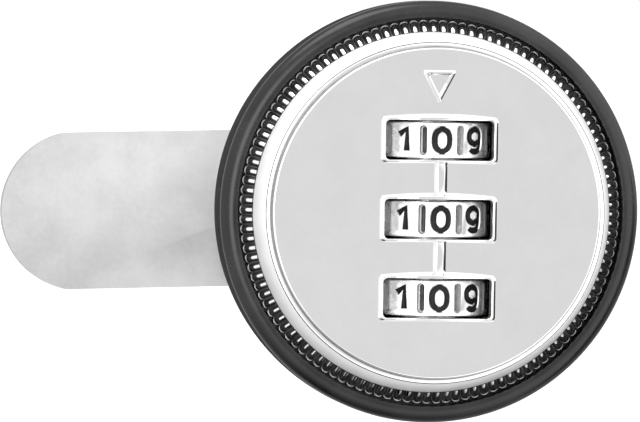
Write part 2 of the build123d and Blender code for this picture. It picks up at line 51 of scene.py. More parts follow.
# Head
BEZEL_RADIUS = 25.0
BEZEL_FOOT_RADIUS = 24.0
BEZEL_LIP_HEIGHT = 13.3
BEZEL_LIP_ROUND = 1.3
BEZEL_CREST_RADIUS = 23.4
BELLY_HEIGHT = 8.6
LIP_BORE_LOW = 10.0
LIP_BORE = 23.05
BEZEL_BORE = 21.95
KNURL_COUNT = 120
KNURL_LOW = 10.3
KNURL_ROOT = 22.3
SHOULDER_HEIGHT = 12.1
SHOULDER_SLOPE = radians(38)
WALL_LOW = 13.62
RIB_HEIGHT = 0.42
RIB_HALF_WIDTH = 0.5
RIB_BEND = 0.35
RIB_SLOPE_LENGTH = 1.42
RIB_LIP_TILTS = (radians(46), radians(64))
WALL_FOOT = 21.3
LEDGE_RADIUS = 20.08
LEDGE_HEIGHT = 17.0
FACE_RADIUS = 19.5
FACE_ROUND = 0.2
FACE = 18.0
CEILING = 16.2
SKIRT_BORE = 18.2
SKIRT_RADIUS = 19.1
SKIRT_LOW = 2.75

# Windows, dials and pointer
WINDOW_LENGTH = 12.9
WINDOW_WIDTH = 4.7
WINDOW_ZS = (8.6, -0.7, -10.0)
WINDOW_X = 0.14
WINDOW_CORNER = 0.5
RIDGE_X = 0.35
RIDGE_WIDTH = 1.9
RIDGE_TAPER = 0.42
POINTER_RADIUS = 2.5
POINTER_Z = 15.5
POINTER_FLANK = 0.22
POINTER_LAND = 0.14
POINTER_RISE = 0.3
POINTER_CORNER = 0.5
COLLAR_CORNER = 0.6
COLLAR_RIM = 0.22
COLLAR_END_DRAFT = 0.34
COLLAR_SIDE_DRAFT = 0.15
COLLAR_BULGE = 0.4
COLLAR_RISE = 1.0
COLLAR_LEAST_RISE = 0.4
COLLAR_ARCH = 21.0
DIAL_NAMES = ("top", "middle", "bottom")
DIAL_RADIUS = 7.2
DIAL_WIDTH = 4.2
DIAL_HEIGHT = 11.0
DIAL_BORE = 4.06
DIGIT_STEP = radians(36)
DIGIT_HEIGHT = 3.3
DIGIT_STROKE = 0.74
GROOVE_WIDTH = 0.95
GROOVE_LENGTH = 3.6
GROOVE_DEPTH = 1.8
GROOVE_CORNER = 0.46
TOOL_RADIUS = 0.5
TOOL_PATH_RADIUS = DIAL_RADIUS + 0.28
DIAL_LEAD = radians(3.5)
SECTOR_START = radians(-12.5)

# Barrel and cam
BARREL_RADIUS = 9.5
THREAD_PITCH = 1.0
THREAD_DEPTH = 0.8
CAM_REACH = 38.9
CAM_END_RADIUS = 9.7
CAM_HALF_WIDTH = 9.5
CAM_THICKNESS = 2.0
CAM_BACK = 15.35
CAM_HOLE = 8.3
CAM_TILT = radians(-1.8)

# Finishes: sizes of surface grain, in metres
FINE_GRAIN = 0.0003


# Materials


class Reading:
    """A number that a paint reads at each point of a surface; arithmetic on it adds Math nodes."""

    def __init__(self, paint, socket):
        self.paint = paint
        self.socket = socket

    def reckon(self, operation, *values):
        return self.paint.node("ShaderNodeMath", {"operation": operation}, dict(enumerate(values)))

    def __add__(self, other):
        return self.reckon("ADD", self, other)

    def __sub__(self, other):
        return self.reckon("SUBTRACT", self, other)

    def __rsub__(self, other):
        return self.reckon("SUBTRACT", other, self)

    def __mul__(self, other):
        return self.reckon("MULTIPLY", self, other)

    __radd__ = __add__
    __rmul__ = __mul__


class Paint:
    """One finish, or the studio round the lock, built from nodes."""

    def __init__(self, owner):
        self.owner = owner
        owner.use_nodes = True
        self.tree = owner.node_tree
        self.tree.nodes.clear()

    def node(self, kind, settings=None, inputs=None, output=0):
        made = self.tree.nodes.new(kind)
        for name, value in (settings or {}).items():
            setattr(made, name, value)
        for key, value in (inputs or {}).items():
            if isinstance(value, Reading):
                self.tree.links.new(value.socket, made.inputs[key])
            else:
                made.inputs[key].default_value = value
        return None if output is None else Reading(self, made.outputs[output])

    def place(self):
        return self.node("ShaderNodeTexCoord", output=3)

    def distance(self, axis):
        """How far the point is from the lock's middle, in metres, along axis 0, 1 or 2."""
        return self.node("ShaderNodeSeparateXYZ", {}, {0: self.place()}, axis)

    def noise(self, where, size, detail=3.0, roughness=0.5):
        """Cloudy values about 0.5, whose blotches are about size metres across."""
        values = {"Vector": where, "Scale": 1 / size, "Detail": detail, "Roughness": roughness}
        return self.node("ShaderNodeTexNoise", {}, values)

    def spread(self, value, low, high, new_low, new_high):
        """The value's range from low to high, stretched to a new range and held there."""
        return self.node("ShaderNodeMapRange", {}, {0: value, 1: low, 2: high, 3: new_low, 4: new_high})

    def blend(self, factor, first, second):
        """One colour turning into another as the factor goes from 0 to 1."""
        inputs = {0: factor, 6: (*first, 1), 7: (*second, 1)}
        return self.node("ShaderNodeMix", {"data_type": "RGBA"}, inputs, output=2)

    def bump(self, height, depth):
        return self.node("ShaderNodeBump", {}, {"Height": height, "Distance": depth, "Strength": 1.0})

    def finish(self, **sockets):
        """Closes the paint with its surface; socket names are written with underscores."""
        inputs = {name.replace("_", " "): value for name, value in sockets.items()}
        surface = self.node("ShaderNodeBsdfPrincipled", {}, inputs)
        self.node("ShaderNodeOutputMaterial", {}, {"Surface": surface}, output=None)
        return self.owner


def new_paint(name):
    return Paint(bpy.data.materials.new(name))


def metal(name, dark, bright, blotch, smooth, rough, wave):
    """A plated or ground metal: colour blotches, uneven polish and a slight surface wave."""
    paint = new_paint(name)
    where = paint.place()
    cloud = paint.noise(where, blotch, 4.0, 0.55)
    fine = paint.noise(where, FINE_GRAIN, 3.0, 0.6)
    tone = paint.spread(0.65 * cloud + 0.35 * fine, 0.36, 0.64, 0.0, 1.0)
    polish = paint.spread(0.5 * cloud + 0.5 * fine, 0.35, 0.65, smooth, rough)
    height = 0.7 * cloud + 0.3 * fine
    return paint.finish(
        Base_Color=paint.blend(tone, dark, bright),
        Metallic=1.0,
        Roughness=polish,
        Normal=paint.bump(height, wave),
    )


def plastic(name, dark, bright, smooth, rough, grain, wave, gloss=0.5):
    """A moulded black: faintly uneven colour, polish and skin."""
    paint = new_paint(name)
    where = paint.place()
    cloud = paint.noise(where, 12 * grain, 3.0, 0.5)
    fine = paint.noise(where, grain, 4.0, 0.6)
    return paint.finish(
        Base_Color=paint.blend(paint.spread(cloud, 0.35, 0.65, 0, 1), dark, bright),
        Roughness=paint.spread(0.4 * cloud + 0.6 * fine, 0.35, 0.65, smooth, rough),
        Specular_IOR_Level=gloss,
        Normal=paint.bump(fine, wave),
    )


def satin(name, dark, bright, mirror, smooth, rough, blotch=0.003, wave=0.0):
    """A metal finish, part mirror and part soft glow, used to paint light or shade in place of reflections.
    """
    paint = new_paint(name)
    cloud = paint.noise(paint.place(), blotch, 4.0, 0.5)
    return paint.finish(
        Base_Color=paint.blend(paint.spread(cloud, 0.35, 0.65, 0, 1), dark, bright),
        Metallic=mirror,
        Roughness=paint.spread(cloud, 0.35, 0.65, smooth, rough),
        Normal=paint.bump(cloud, wave),
    )


def plated_tongue():
    """Dull zinc plate, finely grained and faintly clouded; its colour darkens towards the cam's tip as
    painted shade, evening out the extra light the tip catches.
    """
    paint = new_paint("cam_zinc")
    cloud = paint.noise(paint.place(), 0.004, 3.0, 0.5)
    grain = paint.noise(paint.place(), 0.0007, 3.0, 0.6)
    polish = paint.spread(0.6 * cloud + 0.4 * grain, 0.35, 0.65, 0, 1)
    # Painted shade: the colour darkens towards the tip.
    tone = 0.74 * paint.spread(paint.distance(0), -0.048, -0.024, 0, 1) + 0.26 * polish
    return paint.finish(
        Base_Color=paint.blend(tone, (0.31, 0.312, 0.312), (0.61, 0.61, 0.61)),
        Metallic=0.35,
        Roughness=paint.spread(polish, 0, 1, 0.32, 0.42),
        Normal=paint.bump(grain, 0.000002),
    )


def threaded_zinc():
    """Cast zinc, with the barrel's thread as a relief on its round sides and painted shade darkening the
    thread's roots.
    """
    paint = new_paint("threaded_zinc")
    across, along, up = (paint.distance(axis) for axis in range(3))
    out = paint.node("ShaderNodeMath", {"operation": "SQRT"}, {0: across * across + up * up})
    turn = paint.node("ShaderNodeMath", {"operation": "ARCTAN2"}, {0: across, 1: up}) * (0.5 / pi)
    climb = along * (1000 / THREAD_PITCH) + turn
    tooth = paint.node("ShaderNodeMath", {"operation": "PINGPONG"}, {0: climb, 1: 0.5})
    rim = BARREL_RADIUS / 1000
    near, far = 0.0001, 0.0002
    past_flats = paint.spread(out, rim - far, rim - near, 0, 1)
    inside_rim = paint.spread(out, rim + near, rim + far, 1, 0)
    on_barrel = past_flats * inside_rim * paint.spread(along, near, far, 0, 1)
    cloud = paint.noise(paint.place(), 0.002, 4.0, 0.55)
    fine = paint.noise(paint.place(), FINE_GRAIN, 3.0, 0.6)
    # Painted shade: the colour darkens in the thread's roots.
    root_painted_shade = on_barrel * (1 - 2 * tooth)
    tone = paint.spread(0.65 * cloud + 0.35 * fine, 0.36, 0.64, 0, 1) * (1 - 0.75 * root_painted_shade)
    return paint.finish(
        Base_Color=paint.blend(tone, (0.40, 0.40, 0.41), (0.62, 0.62, 0.63)),
        Metallic=1.0,
        Roughness=paint.spread(0.5 * cloud + 0.5 * fine, 0.35, 0.65, 0.3, 0.48),
        Normal=paint.bump(0.02 * (0.7 * cloud + 0.3 * fine) + on_barrel * tooth, THREAD_DEPTH / 1000),
    )


chrome = metal("chrome", (0.83, 0.83, 0.84), (0.87, 0.87, 0.875), 0.004, 0.04, 0.08, 0.0000004)
# Pale and only slightly metallic: painted brightness standing in for the wall's chrome reflections.
pale_wall_painted_light = satin("pale_wall_painted_light", (0.84, 0.84, 0.84), (0.87, 0.87, 0.87), 0.1, 0.4, 0.5)
# Pale and only slightly metallic: a painted highlight on the ribs' outer bends.
rib_lip_painted_highlight = satin("rib_lip_painted_highlight", (0.93, 0.93, 0.93), (0.98, 0.98, 0.98), 0.1, 0.3, 0.4)
# Nearly black: painted shade in the knurl's flanks, at the wall's foot, on the ledge's rim and on the dials'
# groove floors.
groove_shade = satin("groove_shade", (0.03, 0.03, 0.03), (0.08, 0.08, 0.08), 0.6, 0.3, 0.5, 0.001)
# Dark grey: painted shade on the knurl's groove floors and on the ledge's rise.
grey_painted_shade = satin("grey_painted_shade", (0.16, 0.16, 0.16), (0.30, 0.30, 0.30), 0.6, 0.3, 0.5, 0.001)
# The dials' chrome, half matte and pale so that part of its brightness is painted light; also the bright
# groove walls.
dial_chrome = satin("dial_chrome", (0.80, 0.80, 0.80), (0.93, 0.93, 0.93), 0.55, 0.16, 0.3, 0.0012, 0.000003)
cam_zinc = plated_tongue()
barrel_zinc = threaded_zinc()
zinc_casting = metal("zinc_casting", (0.48, 0.48, 0.49), (0.62, 0.62, 0.63), 0.002, 0.3, 0.48, 0.00001)
plated_steel = metal("plated_steel", (0.55, 0.55, 0.54), (0.70, 0.70, 0.69), 0.002, 0.2, 0.34, 0.000004)
plain_steel = metal("plain_steel", (0.42, 0.42, 0.43), (0.56, 0.56, 0.57), 0.001, 0.25, 0.4, 0.000003)
spring_steel = metal("spring_steel", (0.30, 0.30, 0.32), (0.44, 0.44, 0.46), 0.001, 0.25, 0.4, 0.000002)
bar_brass = metal("bar_brass", (0.58, 0.43, 0.19), (0.72, 0.57, 0.30), 0.002, 0.3, 0.46, 0.000004)
bezel_black = plastic(
    "bezel_black", (0.010, 0.010, 0.011), (0.018, 0.018, 0.019), 0.16, 0.3, 0.0004, 0.000004, 0.38
)
bezel_side = plastic(
    "bezel_side", (0.010, 0.010, 0.011), (0.02, 0.02, 0.021), 0.55, 0.75, 0.0003, 0.000006, 0.05
)
carrier_black = plastic("carrier_black", (0.010, 0.010, 0.010), (0.02, 0.02, 0.02), 0.4, 0.6, 0.0003, 0.00001)
digit_black = plastic(
    "digit_black", (0.006, 0.006, 0.006), (0.016, 0.016, 0.016), 0.25, 0.45, 0.0002, 0.000008, 0.15
)

node_finish = {
    "body_casting": barrel_zinc,
    "tooth_washer": plain_steel,
    "mounting_nut": plated_steel,
    "dial_carrier": carrier_black,
    "dial_axle": plain_steel,
    "axle_clips": spring_steel,
    "click_spring": spring_steel,
    "spindle": zinc_casting,
    "plate_screws": plated_steel,
    "retaining_ring": spring_steel,
    "stop_washer": plated_steel,
    "cam_washer": spring_steel,
    "cam_screw": plain_steel,
    "bar_springs": spring_steel,
    "hub_top": plain_steel,
    "hub_middle": plain_steel,
    "hub_bottom": plain_steel,
    "locking_bar": bar_brass,
}
for node_name, finish in node_finish.items():
    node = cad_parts[node_name]
    node.data.materials.clear()
    node.data.materials.append(finish)


# Ways of making pieces


def leave_all():
    """Deselects everything, so that the next operator works on one piece only."""
    if bpy.context.object and bpy.context.object.mode == "EDIT":
        bpy.ops.object.mode_set(mode="OBJECT")
    bpy.ops.object.select_all(action="DESELECT")


def new_piece(name):
    """Names the primitive just added and puts its place into its mesh."""
    piece = bpy.context.object
    piece.name = name
    piece.data.name = name
    bpy.ops.object.transform_apply(location=True, rotation=True, scale=True)
    return piece


def edit(piece):
    """Opens one piece with nothing selected."""
    leave_all()
    piece.select_set(True)
    bpy.context.view_layer.objects.active = piece
    bpy.ops.object.mode_set(mode="EDIT")
    bpy.ops.mesh.select_all(action="DESELECT")
    bpy.ops.object.mode_set(mode="OBJECT")


def pick_faces(piece, chosen):
    """Selects the faces that a test picks, and opens the piece on them."""
    edit(piece)
    for face in piece.data.polygons:
        face.select = chosen(face)
    bpy.ops.object.mode_set(mode="EDIT")
    bpy.ops.mesh.select_mode(type="FACE")


def modify(piece, kind, **settings):
    """Adds a modifier and applies it."""
    leave_all()
    piece.select_set(True)
    bpy.context.view_layer.objects.active = piece
    made = piece.modifiers.new(kind.lower(), kind)
    for name, value in settings.items():
        setattr(made, name, value)
    bpy.ops.object.modifier_apply(modifier=made.name)


def ease_edges(piece, width, segments=3, angle=30):
    """Rounds a piece's sharp edges."""
    modify(
        piece, "BEVEL", width=width, segments=segments, limit_method="ANGLE",
        angle_limit=radians(angle), harden_normals=False,
    )


def cut(piece, *cutters):
    """Takes cutters away from a piece; what they cut keeps their finish."""
    for cutter in cutters:
        modify(
            piece, "BOOLEAN", object=cutter, operation="DIFFERENCE", solver="EXACT",
            material_mode="TRANSFER",
        )
        bpy.data.objects.remove(cutter)


def join(first, *others):
    """Makes several pieces one."""
    leave_all()
    for other in others:
        other.select_set(True)
    first.select_set(True)
    bpy.context.view_layer.objects.active = first
    bpy.ops.object.join()
    return first


def done(piece, body, finish=None, stands_for=(), smooth=35):
    """Finishes a piece: shading, metres, finish, and the body that it rides on."""
    leave_all()
    piece.select_set(True)
    bpy.context.view_layer.objects.active = piece
    bpy.ops.object.shade_smooth_by_angle(angle=radians(smooth))
    piece.data.transform(TO_METRES)
    if finish:
        piece.data.materials.clear()
        piece.data.materials.append(finish)
    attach(piece, body)
    if stands_for:
        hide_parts(*stands_for)
    return piece


def quarter_round(radius, height, width, rise, start, end, steps):
    """Points of an elliptic round about a centre, from one angle to another, in degrees from the outside."""
    turns = [radians(start + (end - start) * step / steps) for step in range(steps + 1)]
    return [(radius + width * cos(turn), height + rise * sin(turn)) for turn in turns]


def turned(name, outline, sides=240, capped=False):
    """A piece turned about the lock's axis: a circle is extruded from point to point of the outline."""
    leave_all()
    radius, height = outline[0]
    bpy.ops.mesh.primitive_circle_add(
        vertices=sides, radius=radius, location=(0, -height, 0), rotation=AXIS_TURN,
        fill_type="NGON" if capped else "NOTHING",
    )
    piece = new_piece(name)
    bpy.ops.object.mode_set(mode="EDIT")
    bpy.ops.mesh.select_mode(type="EDGE")
    bpy.ops.mesh.select_all(action="SELECT")
    for next_radius, next_height in outline[1:]:
        bpy.ops.mesh.extrude_edges_move(TRANSFORM_OT_translate={"value": (0, height - next_height, 0)})
        share = next_radius / radius
        bpy.ops.transform.resize(value=(share, 1, share), center_override=(0, -next_height, 0))
        radius, height = next_radius, next_height
    if capped:
        bpy.ops.mesh.edge_face_add()
    bpy.ops.mesh.select_all(action="SELECT")
    bpy.ops.mesh.remove_doubles(threshold=0.001)
    bpy.ops.mesh.normals_make_consistent(inside=False)
    bpy.ops.object.mode_set(mode="OBJECT")
    return piece


def block(name, size, centre):
    """A box with its size and middle given."""
    leave_all()
    bpy.ops.mesh.primitive_cube_add(size=1, location=centre, scale=size)
    return new_piece(name)


def rounded_plate(name, length, width, corner, low, high, centre_x, centre_z):
    """A block facing the user whose corners are rounded, from one height to another."""
    piece = block(name, (length, high - low, width), (centre_x, -(low + high) / 2, centre_z))
    edit(piece)
    for side in piece.data.edges:
        first, second = (piece.data.vertices[index].co for index in side.vertices)
        side.select = abs(first.y - second.y) > abs(high - low) / 2
    bpy.ops.object.mode_set(mode="EDIT")
    bpy.ops.mesh.select_mode(type="EDGE")
    bpy.ops.mesh.bevel(offset=corner, segments=6, affect="EDGES")
    bpy.ops.object.mode_set(mode="OBJECT")
    return piece


# Bezel

lip_low = BEZEL_LIP_HEIGHT - BEZEL_LIP_ROUND
lip_width = BEZEL_RADIUS - BEZEL_CREST_RADIUS
belly = [(BEZEL_FOOT_RADIUS + 1 - (1 - step / 8) ** 2, BELLY_HEIGHT * step / 8) for step in range(9)]
bezel_outline = [
    (BEZEL_BORE, 0),
    (BEZEL_FOOT_RADIUS - 0.15, 0),
    (BEZEL_FOOT_RADIUS, 0.15),
    *belly[1:],
    *quarter_round(BEZEL_CREST_RADIUS, lip_low, lip_width, BEZEL_LIP_ROUND, 0, 102, 17),
    (LIP_BORE, BEZEL_LIP_HEIGHT - 0.08),
    (LIP_BORE, LIP_BORE_LOW),
    (BEZEL_BORE, LIP_BORE_LOW),
    (BEZEL_BORE, 0),
]
bezel = turned("bezel", bezel_outline)
bezel.data.materials.append(bezel_black)
bezel.data.materials.append(bezel_side)
for face in bezel.data.polygons:
    on_side = hypot(face.center.x, face.center.z) > BEZEL_FOOT_RADIUS - 0.2 and -face.center.y < lip_low
    face.material_index = 1 if on_side else 0
done(bezel, "lock_body", None, ("base_bezel",), 28)

# Knob shell with its face, wall and skirt

face_outline = [
    (10, CEILING),
    (SKIRT_BORE, CEILING),
    (SKIRT_BORE, SKIRT_LOW),
    (SKIRT_RADIUS, SKIRT_LOW),
    (SKIRT_RADIUS, KNURL_LOW),
    (KNURL_ROOT, KNURL_LOW),
    (KNURL_ROOT, SHOULDER_HEIGHT),
    (WALL_FOOT, SHOULDER_HEIGHT + (KNURL_ROOT - WALL_FOOT) * tan(SHOULDER_SLOPE)),
    (WALL_FOOT, WALL_LOW),
    (LEDGE_RADIUS + 0.08, LEDGE_HEIGHT - 0.14),
    (LEDGE_RADIUS - 0.02, LEDGE_HEIGHT - 0.02),
    (LEDGE_RADIUS - 0.08, LEDGE_HEIGHT),
    (FACE_RADIUS + 0.16, LEDGE_HEIGHT + 0.02),
    (FACE_RADIUS + 0.1, LEDGE_HEIGHT + 0.1),
    *quarter_round(FACE_RADIUS - FACE_ROUND, FACE - FACE_ROUND, FACE_ROUND, FACE_ROUND, 8, 90, 6),
    (FACE_RADIUS - FACE_ROUND - 0.15, FACE),
    (FACE_RADIUS - FACE_ROUND - 0.5, FACE),
]
knob = turned("knob_shell", face_outline, capped=True)
for centre_z in WINDOW_ZS:
    opening = (WINDOW_LENGTH + 0.2, WINDOW_WIDTH + 0.2)
    cut(knob, rounded_plate("window_cut", *opening, WINDOW_CORNER, 15, 19, WINDOW_X, centre_z))
skirt_slot = block("skirt_cut", (4, 3.6, 3.6), (18.6, -6.0, 0))
cut(knob, skirt_slot)
knob.data.materials.clear()
for finish in (chrome, pale_wall_painted_light, grey_painted_shade, groove_shade):
    knob.data.materials.append(finish)
# Painted light and shade: the wall's foot inside the knurl and the ledge's rim get nearly black painted
# shade, the knurl's groove floors and the ledge's rise dark grey painted shade, and the wall a pale painted
# brightness in place of its chrome reflections.
for face in knob.data.polygons:
    height, radius = -face.center.y, hypot(face.center.x, face.center.z)
    on_wall = WALL_LOW < height < LEDGE_HEIGHT - 0.2 and radius > 19.5
    in_grooves = KNURL_LOW < height < WALL_LOW and radius > WALL_FOOT - 0.1
    at_foot = in_grooves and radius < WALL_FOOT + 0.05
    on_rise = radius > 19 and LEDGE_HEIGHT + 0.05 < height < FACE - FACE_ROUND + 0.05
    on_rim = radius > LEDGE_RADIUS - 0.03 and LEDGE_HEIGHT - 0.14 < height < LEDGE_HEIGHT - 0.02
    face.material_index = 3 if at_foot or on_rim else 2 if in_grooves or on_rise else 1 if on_wall else 0
done(knob, "knob_unit", None, ("knob",), 28)

# Knurl: one rib, swept up the band and over its shoulder, then repeated round it

leave_all()
rib_radius = KNURL_ROOT + 0.1
bpy.ops.mesh.primitive_circle_add(
    vertices=16, radius=RIB_HEIGHT, fill_type="NGON", location=(rib_radius, -KNURL_LOW, 0), rotation=AXIS_TURN
)
rib = new_piece("knurl")
bend_place = (rib_radius - RIB_BEND, -SHOULDER_HEIGHT + 0.1, 0)
bpy.ops.object.mode_set(mode="EDIT")
bpy.ops.mesh.select_all(action="SELECT")
bpy.ops.transform.resize(value=(1, 1, RIB_HALF_WIDTH / RIB_HEIGHT), center_override=(0, 0, 0))
bpy.ops.mesh.extrude_region_move(TRANSFORM_OT_translate={"value": (0, KNURL_LOW + bend_place[1], 0)})
bpy.ops.mesh.spin(steps=6, angle=pi / 2 - SHOULDER_SLOPE, center=bend_place, axis=(0, 0, 1))
up_slope = (-RIB_SLOPE_LENGTH * cos(SHOULDER_SLOPE), -RIB_SLOPE_LENGTH * sin(SHOULDER_SLOPE), 0)
bpy.ops.mesh.extrude_region_move(TRANSFORM_OT_translate={"value": up_slope})
bpy.ops.mesh.select_all(action="SELECT")
bpy.ops.mesh.remove_doubles(threshold=0.001)
bpy.ops.mesh.normals_make_consistent(inside=False)
bpy.ops.object.mode_set(mode="OBJECT")
rib.data.materials.clear()
for finish in (chrome, groove_shade, rib_lip_painted_highlight):
    rib.data.materials.append(finish)
# Painted light and shade: the rib's flanks and the band just under its slope get nearly black painted shade,
# and a band on its outer bend a pale painted highlight; the crown stays chrome.
for face in rib.data.polygons:
    tilt = atan2(face.center.x - bend_place[0], bend_place[1] - face.center.y)
    on_flank = tilt < SHOULDER_SLOPE and abs(face.center.z) > 0.45 * RIB_HALF_WIDTH
    below_slope = SHOULDER_SLOPE < tilt < RIB_LIP_TILTS[0]
    on_lip = RIB_LIP_TILTS[0] < tilt < RIB_LIP_TILTS[1]
    face.material_index = 2 if on_lip else 1 if on_flank or below_slope else 0
ribs = []
for step in range(1, KNURL_COUNT):
    copy = rib.copy()
    copy.data = rib.data.copy()
    copy.data.transform(Matrix.Rotation(2 * pi * step / KNURL_COUNT, 4, "Y"))
    bpy.context.scene.collection.objects.link(copy)
    ribs.append(copy)
join(rib, *ribs)
done(rib, "knob_unit", None)


# Window collars: drafted rims, arched across the dials


def rise_at(x):
    """How far a collar stands above the face at a distance from its middle."""
    return max(COLLAR_RISE - x * x / (2 * COLLAR_ARCH), COLLAR_LEAST_RISE)


def collar(name, centre_z):
    """A rounded frame round a window, its walls drafted and its top arched."""
    outer_x = WINDOW_LENGTH + 2 * (COLLAR_RIM + COLLAR_END_DRAFT)
    outer_z = WINDOW_WIDTH + 2 * (COLLAR_RIM + COLLAR_SIDE_DRAFT)
    piece = rounded_plate(name, outer_x, outer_z, COLLAR_CORNER, FACE - 0.2, FACE, WINDOW_X, centre_z)
    pick_faces(piece, lambda face: abs(face.normal.y) > 0.9)
    bpy.ops.mesh.delete(type="ONLY_FACE")
    bpy.ops.object.mode_set(mode="OBJECT")
    edit(piece)
    for side in piece.data.edges:
        first, second = (piece.data.vertices[index].co for index in side.vertices)
        side.select = abs(first.x - second.x) > outer_x / 2
    bpy.ops.object.mode_set(mode="EDIT")
    bpy.ops.mesh.select_mode(type="EDGE")
    bpy.ops.mesh.subdivide(number_cuts=15)
    bpy.ops.object.mode_set(mode="OBJECT")
    edit(piece)
    for side in piece.data.edges:
        side.select = all(piece.data.vertices[index].co.y < -FACE + 0.01 for index in side.vertices)
    bpy.ops.object.mode_set(mode="EDIT")
    length, width = outer_x, outer_z
    rings = ((COLLAR_END_DRAFT, COLLAR_SIDE_DRAFT, -0.5), (COLLAR_RIM, COLLAR_RIM, 0), (0, 0, 1.9))
    for end_step, side_step, move in rings:
        bpy.ops.mesh.extrude_edges_move(TRANSFORM_OT_translate={"value": (0, move, 0)})
        share = ((length - 2 * end_step) / length, 1, (width - 2 * side_step) / width)
        bpy.ops.transform.resize(value=share, center_override=(WINDOW_X, 0, centre_z))
        length, width = length - 2 * end_step, width - 2 * side_step
    bpy.ops.object.mode_set(mode="OBJECT")
    inner_z = centre_z + WINDOW_WIDTH / 2 + 0.02
    for corner in piece.data.vertices:
        place = corner.co
        across = place.x - WINDOW_X
        if place.z > inner_z:
            share = 0.4 if place.y < -FACE - 0.1 else 1.0
            place.z += share * COLLAR_BULGE * max(1 - (2 * across / outer_x) ** 2, 0)
        if place.y < -FACE - 0.1:
            place.y = -FACE - rise_at(across)
    edit(piece)
    bpy.ops.object.mode_set(mode="EDIT")
    bpy.ops.mesh.select_all(action="SELECT")
    bpy.ops.mesh.normals_make_consistent(inside=False)
    bpy.ops.object.mode_set(mode="OBJECT")
    return piece


for dial_name, centre_z in zip(DIAL_NAMES, WINDOW_ZS):
    rim = collar(f"collar_{dial_name}", centre_z)
    ease_edges(rim, 0.07, 3, 40)
    done(rim, "knob_unit", chrome)

# Index ridges between the windows

for place, (upper, lower) in enumerate(zip(WINDOW_ZS, WINDOW_ZS[1:])):
    high_z = upper - WINDOW_WIDTH / 2 - COLLAR_RIM
    low_z = lower + WINDOW_WIDTH / 2 + COLLAR_RIM
    ridge_size = (RIDGE_WIDTH, 0.6, high_z - low_z + 0.5)
    ridge = block(f"ridge_{place}", ridge_size, (RIDGE_X, -FACE - 0.1, (high_z + low_z) / 2))
    pick_faces(ridge, lambda face: face.normal.y < -0.9)
    bpy.ops.transform.resize(value=(RIDGE_TAPER, 1, 1), center_override=(RIDGE_X, 0, 0))
    bpy.ops.object.mode_set(mode="OBJECT")
    ease_edges(ridge, 0.06)
    done(ridge, "knob_unit", chrome)

# Pointer: a raised outline triangle, tip down

leave_all()
bpy.ops.mesh.primitive_circle_add(
    vertices=3, radius=POINTER_RADIUS, fill_type="NGON", location=(0, -FACE + 0.05, POINTER_Z),
    rotation=(pi / 2, pi, 0),
)
pointer = new_piece("pointer")
bpy.ops.object.mode_set(mode="EDIT")
bpy.ops.mesh.select_all(action="SELECT")
bpy.ops.mesh.bevel(offset=POINTER_CORNER, segments=5, affect="VERTICES")
bpy.ops.mesh.select_all(action="SELECT")
bpy.ops.transform.resize(value=(1, 1, 1.1), center_override=(0, -FACE, POINTER_Z))
bpy.ops.mesh.delete(type="ONLY_FACE")
bpy.ops.mesh.select_mode(type="EDGE")
bpy.ops.mesh.select_all(action="SELECT")
half_height = POINTER_RADIUS / 2
steps = (
    (POINTER_FLANK, POINTER_RISE),
    (POINTER_LAND, 0),
    (POINTER_FLANK, -POINTER_RISE),
    (-POINTER_LAND - 2 * POINTER_FLANK, 0),
)
for inward, rise in steps:
    bpy.ops.mesh.extrude_edges_move(TRANSFORM_OT_translate={"value": (0, -rise, 0)})
    share = (half_height - inward) / half_height
    bpy.ops.transform.resize(value=(share, 1, share), center_override=(0, 0, POINTER_Z))
    half_height = half_height - inward
bpy.ops.mesh.select_all(action="SELECT")
bpy.ops.mesh.remove_doubles(threshold=0.001)
bpy.ops.mesh.normals_make_consistent(inside=False)
bpy.ops.object.mode_set(mode="OBJECT")
done(pointer, "knob_unit", chrome)

# Number dial: ten lands with engraved digits, and a round-ended groove after each land


def ring_of(centre_z, half_x, half_z, start=90, end=450, steps=28):
    """Points of a squarish oval in the middle of a land, from one angle to another in degrees."""

    def squared(share):
        return copysign(abs(share) ** 0.82, share)

    turns = [radians(start + (end - start) * step / steps) for step in range(steps + 1)]
    return [(half_x * squared(cos(turn)), centre_z + half_z * squared(sin(turn))) for turn in turns]


def digit_strokes(digit):
    """The strokes of a digit across its land, as places right of its middle and above it.

    No stroke crosses itself and no two rings share a seam, because the cut fails on such a stroke."""
    top, side = DIGIT_HEIGHT / 2 - DIGIT_STROKE / 2, 0.95
    nine = [ring_of(0.46, 0.95, top - 0.46), ring_of(0, 0.95, top, 25, -135, 16)]
    strokes = {
        0: [ring_of(0, side, top)],
        1: [[(-0.7, 0.6), (0.25, top), (0.25, -top)]],
        2: [ring_of(0.55, 0.78, top - 0.55, 165, -32, 14) + [(-0.85, -top), (0.85, -top)]],
        3: [ring_of(0.63, 0.72, top - 0.63, 150, -90, 14), ring_of(-0.56, 0.84, top - 0.56, 90, -150, 14)],
        4: [[(0.4, -top), (0.4, top)], [(0.25, top), (-0.95, -0.55), (0.95, -0.55)]],
        5: [[(0.72, top), (-0.62, top), (-0.68, 0.12)], ring_of(-0.47, 0.86, top - 0.47, 140, -145, 14)],
        6: [[(-place_x, -place_z) for place_x, place_z in stroke] for stroke in nine],
        7: [[(-0.85, top), (0.85, top), (-0.25, -top)]],
        8: [ring_of(0.68, 0.66, top - 0.68, 91, 451), ring_of(-0.56, 0.84, top - 0.56)],
        9: nine,
    }
    return strokes[digit]


